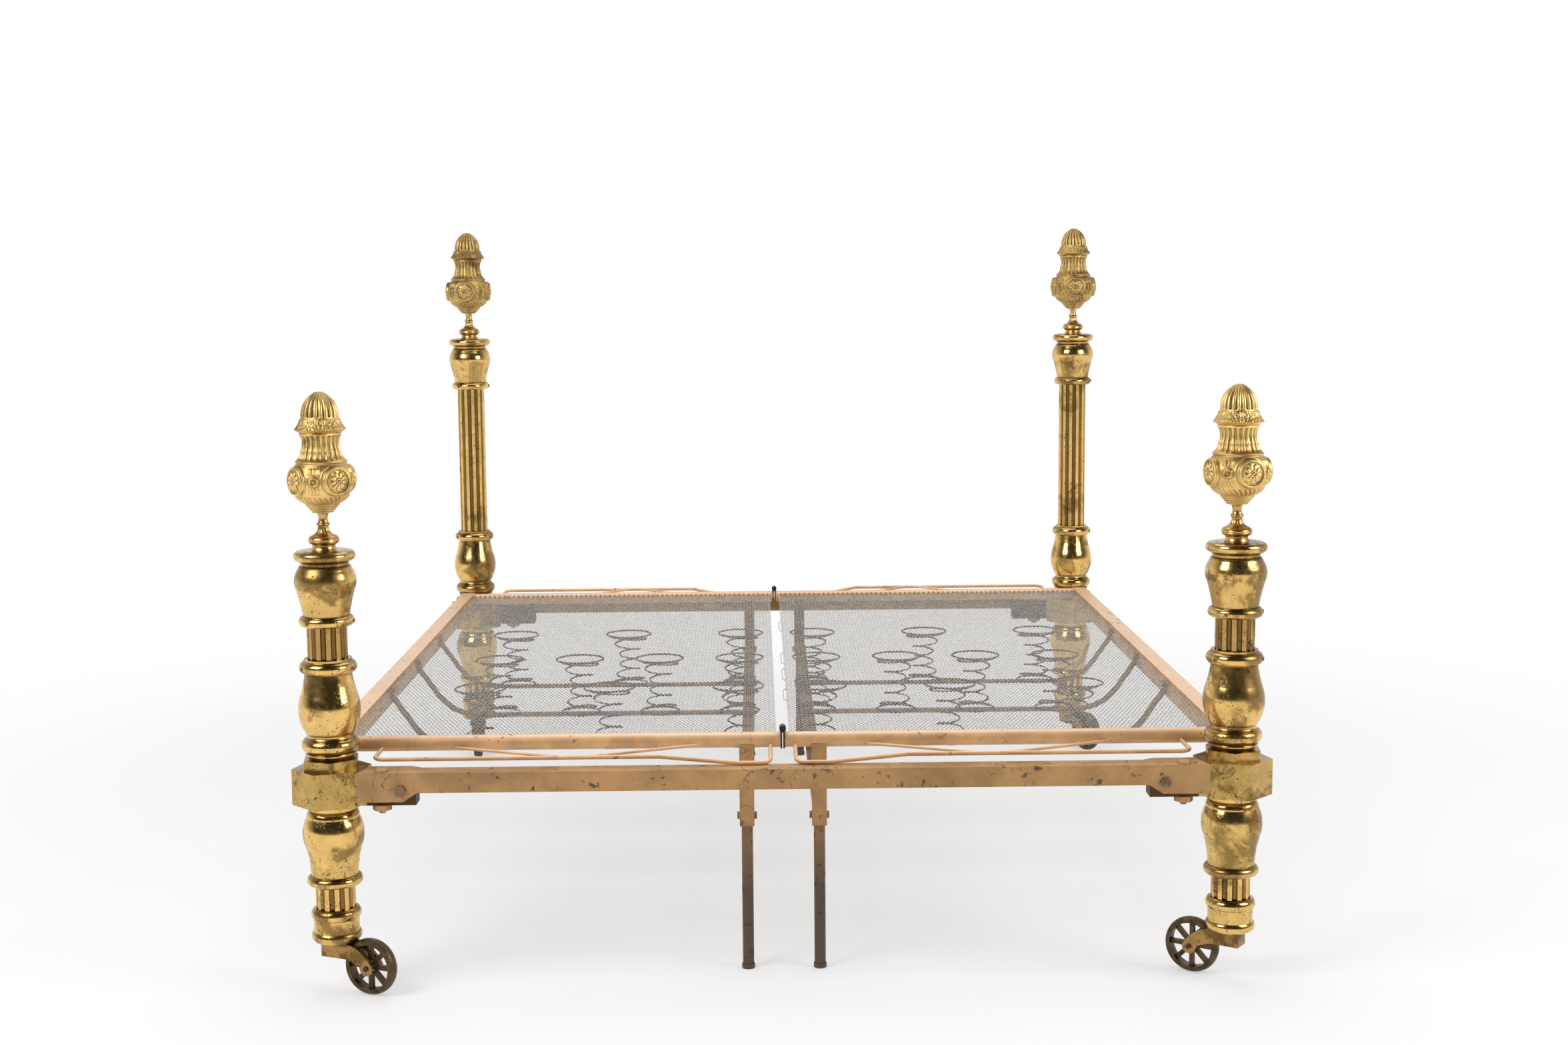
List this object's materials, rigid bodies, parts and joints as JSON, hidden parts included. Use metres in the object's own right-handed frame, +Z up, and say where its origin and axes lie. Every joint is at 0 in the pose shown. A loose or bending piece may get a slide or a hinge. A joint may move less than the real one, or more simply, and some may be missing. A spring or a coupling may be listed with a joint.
{
  "type": "bed frame",
  "caption": "Bronze bedstead with turned baluster posts on casters, angle end rails and a sprung iron base in two leaves that fold on a middle hinge.",
  "frame": {"origin": "centre of the bed's footprint, on the floor", "axes": "+Z up, +Y from the foot end to the head end, +X to the right when seen from the foot end"},
  "size_m": [1.8438, 2.143, 1.476],
  "materials": {
    "bronze": "aged, softly polished",
    "corner_bronze": "worn cast bronze",
    "rail_iron": "old brown lacquer",
    "bolt_steel": "dull, tarnished",
    "caster_brass": "worn brass",
    "axle_steel": "dull",
    "base_paint": "old gold-brown paint",
    "net_wire": "dull galvanised wire",
    "spring_wire": "dull spring wire"
  },
  "bodies": {
    "bedstead": {"capitals": "bronze", "coach_bolts": "bolt_steel", "coach_nuts": "bolt_steel", "columns": "bronze", "corner_blocks": "corner_bronze", "ferrules": "bronze", "finial_stems": "bronze", "finial_tips": "bronze", "finial_urns": "bronze", "foot_rail": "rail_iron", "head_rail": "rail_iron", "hinge_pins": "bolt_steel", "left_foot_guard": "base_paint", "left_foot_tube": "base_paint", "left_head_guard": "base_paint", "left_head_tube": "base_paint", "left_hinge_plates": "base_paint", "left_inner_bar": "base_paint", "left_leg_bolts": "bolt_steel", "left_leg_brackets": "base_paint", "left_net": "net_wire", "left_side_bar": "base_paint", "left_slat_rivets": "bolt_steel", "left_slats": "base_paint", "left_springs": "spring_wire", "leg_flutes": "bronze", "leg_vases": "bronze", "plinth_nuts": "corner_bronze", "post_vases": "bronze", "rail_screws": "bolt_steel", "tie_rods": "bolt_steel"},
    "right_leaf": {"right_foot_tube": "base_paint", "right_head_tube": "base_paint", "right_side_bar": "base_paint", "right_inner_bar": "base_paint", "right_slats": "base_paint", "right_slat_rivets": "bolt_steel", "right_springs": "spring_wire", "right_net": "net_wire", "right_foot_guard": "base_paint", "right_head_guard": "base_paint", "right_leg_brackets": "base_paint", "right_leg_bolts": "bolt_steel", "right_hinge_plates": "base_paint"},
    "left_foot_leg_body": {"left_foot_leg": "base_paint"},
    "left_head_leg_body": {"left_head_leg": "base_paint"},
    "right_foot_leg_body": {"right_foot_leg": "base_paint"},
    "right_head_leg_body": {"right_head_leg": "base_paint"},
    "foot_left_caster": {"foot_left_horn": "caster_brass", "foot_left_axle": "axle_steel"},
    "foot_left_wheel_body": {"foot_left_wheel": "caster_brass"},
    "foot_right_caster": {"foot_right_horn": "caster_brass", "foot_right_axle": "axle_steel"},
    "foot_right_wheel_body": {"foot_right_wheel": "caster_brass"},
    "head_left_caster": {"head_left_horn": "caster_brass", "head_left_axle": "axle_steel"},
    "head_left_wheel_body": {"head_left_wheel": "caster_brass"},
    "head_right_caster": {"head_right_horn": "caster_brass", "head_right_axle": "axle_steel"},
    "head_right_wheel_body": {"head_right_wheel": "caster_brass"}
  },
  "joints": [
    {"name": "right_leaf_fold", "type": "hinge", "parent": "bedstead", "child": "right_leaf", "pos_m": [0, 0, 0.477], "axis": [0, -1, 0], "range_deg": [0, 180]},
    {"name": "left_foot_leg_fold", "type": "hinge", "parent": "bedstead", "child": "left_foot_leg_body", "pos_m": [-0.07, -0.90696, 0.30496], "axis": [1, 0, 0], "range_deg": [0, 90]},
    {"name": "left_head_leg_fold", "type": "hinge", "parent": "bedstead", "child": "left_head_leg_body", "pos_m": [-0.07, 0.90696, 0.30496], "axis": [-1, 0, 0], "range_deg": [0, 90]},
    {"name": "right_foot_leg_fold", "type": "hinge", "parent": "right_leaf", "child": "right_foot_leg_body", "pos_m": [0.07, -0.90696, 0.30496], "axis": [1, 0, 0], "range_deg": [0, 90]},
    {"name": "right_head_leg_fold", "type": "hinge", "parent": "right_leaf", "child": "right_head_leg_body", "pos_m": [0.07, 0.90696, 0.30496], "axis": [-1, 0, 0], "range_deg": [0, 90]},
    {"name": "foot_left_swivel", "type": "hinge", "parent": "bedstead", "child": "foot_left_caster", "pos_m": [-0.85, -1, 0.1], "axis": [0, 0, 1], "continuous": true},
    {"name": "foot_left_wheel_spin", "type": "hinge", "parent": "foot_left_caster", "child": "foot_left_wheel_body", "pos_m": [-0.78121, -1.03063, 0.054], "axis": [0.4067, 0.9135, 0], "continuous": true},
    {"name": "foot_right_swivel", "type": "hinge", "parent": "bedstead", "child": "foot_right_caster", "pos_m": [0.85, -1, 0.1], "axis": [0, 0, 1], "continuous": true},
    {"name": "foot_right_wheel_spin", "type": "hinge", "parent": "foot_right_caster", "child": "foot_right_wheel_body", "pos_m": [0.78831, -0.95681, 0.054], "axis": [-0.5736, -0.8192, 0], "continuous": true},
    {"name": "head_left_swivel", "type": "hinge", "parent": "bedstead", "child": "head_left_caster", "pos_m": [-0.85, 1, 0.1], "axis": [0, 0, 1], "continuous": true},
    {"name": "head_left_wheel_spin", "type": "hinge", "parent": "head_left_caster", "child": "head_left_wheel_body", "pos_m": [-0.84344, 0.92498, 0.054], "axis": [0.9962, 0.0872, 0], "continuous": true},
    {"name": "head_right_swivel", "type": "hinge", "parent": "bedstead", "child": "head_right_caster", "pos_m": [0.85, 1, 0.1], "axis": [0, 0, 1], "continuous": true},
    {"name": "head_right_wheel_spin", "type": "hinge", "parent": "head_right_caster", "child": "head_right_wheel_body", "pos_m": [0.88765, 0.93478, 0.054], "axis": [0.866, 0.5, 0], "continuous": true}
  ]
}
